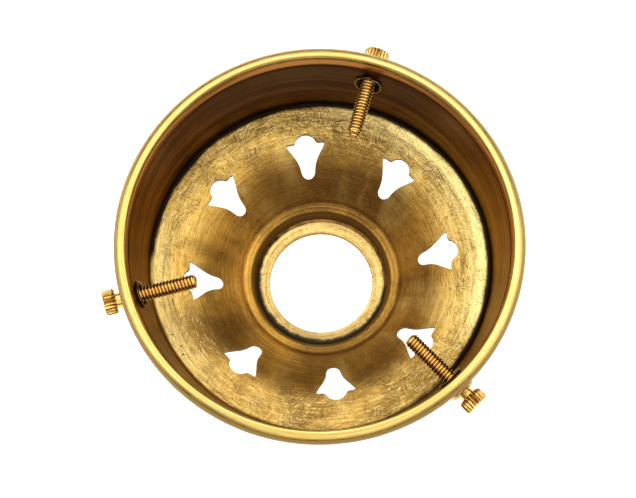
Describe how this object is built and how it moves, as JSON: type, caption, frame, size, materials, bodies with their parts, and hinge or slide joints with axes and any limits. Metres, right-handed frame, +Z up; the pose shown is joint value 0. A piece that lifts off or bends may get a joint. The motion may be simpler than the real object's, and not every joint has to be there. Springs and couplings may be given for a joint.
{
  "type": "glass lampshade gallery with thumbscrews",
  "caption": "Round brass lampshade gallery: a spun cup with a rolled rim, pierced floor and lampholder hole, and radial knurled thumbscrews that grip the glass.",
  "frame": {"origin": "centre of the lampholder hole, in the plane of the neck's outer flat face", "axes": "+Z up the axis from the neck to the open mouth, +Y through the axis of thumbscrew 1"},
  "size_m": [0.1096, 0.1147, 0.0452],
  "materials": {
    "aged_spun_brass": "aged, wire-brushed floor, polished rim",
    "dull_brass": "dull, as riveted",
    "bright_brass": "warm turned brass"
  },
  "bodies": {
    "gallery": {"gallery_body": "aged_spun_brass", "screw_bush_1": "dull_brass", "screw_bush_2": "dull_brass", "screw_bush_3": "dull_brass"},
    "thumbscrew_1_stud": {"thumbscrew_1_shank": "bright_brass"},
    "thumbscrew_1_knob": {"thumbscrew_1_head": "bright_brass"},
    "thumbscrew_2_stud": {"thumbscrew_2_shank": "bright_brass"},
    "thumbscrew_2_knob": {"thumbscrew_2_head": "bright_brass"},
    "thumbscrew_3_stud": {"thumbscrew_3_shank": "bright_brass"},
    "thumbscrew_3_knob": {"thumbscrew_3_head": "bright_brass"}
  },
  "joints": [
    {"name": "thumbscrew_1_travel", "type": "slide", "parent": "gallery", "child": "thumbscrew_1_stud", "axis": [0, 1, 0], "range_m": [-0.0015, 0.0135]},
    {"name": "thumbscrew_1_turn", "type": "hinge", "parent": "thumbscrew_1_stud", "child": "thumbscrew_1_knob", "pos_m": [0, 0.0581, 0.034], "axis": [0, 1, 0], "range_deg": [-600.1, 5400.1]},
    {"name": "thumbscrew_2_travel", "type": "slide", "parent": "gallery", "child": "thumbscrew_2_stud", "axis": [-0.866, -0.5, 0], "range_m": [-0.0015, 0.0135]},
    {"name": "thumbscrew_2_turn", "type": "hinge", "parent": "thumbscrew_2_stud", "child": "thumbscrew_2_knob", "pos_m": [-0.05032, -0.02905, 0.034], "axis": [-0.866, -0.5, 0], "range_deg": [-600.1, 5400.1]},
    {"name": "thumbscrew_3_travel", "type": "slide", "parent": "gallery", "child": "thumbscrew_3_stud", "axis": [0.866, -0.5, 0], "range_m": [-0.0015, 0.0135]},
    {"name": "thumbscrew_3_turn", "type": "hinge", "parent": "thumbscrew_3_stud", "child": "thumbscrew_3_knob", "pos_m": [0.05032, -0.02905, 0.034], "axis": [0.866, -0.5, 0], "range_deg": [-600.1, 5400.1]}
  ],
  "couplings": [
    {"joint": "thumbscrew_1_turn", "follows": "thumbscrew_1_travel", "rad_per_m": 6981.3},
    {"joint": "thumbscrew_2_turn", "follows": "thumbscrew_2_travel", "rad_per_m": 6981.3},
    {"joint": "thumbscrew_3_turn", "follows": "thumbscrew_3_travel", "rad_per_m": 6981.3}
  ]
}
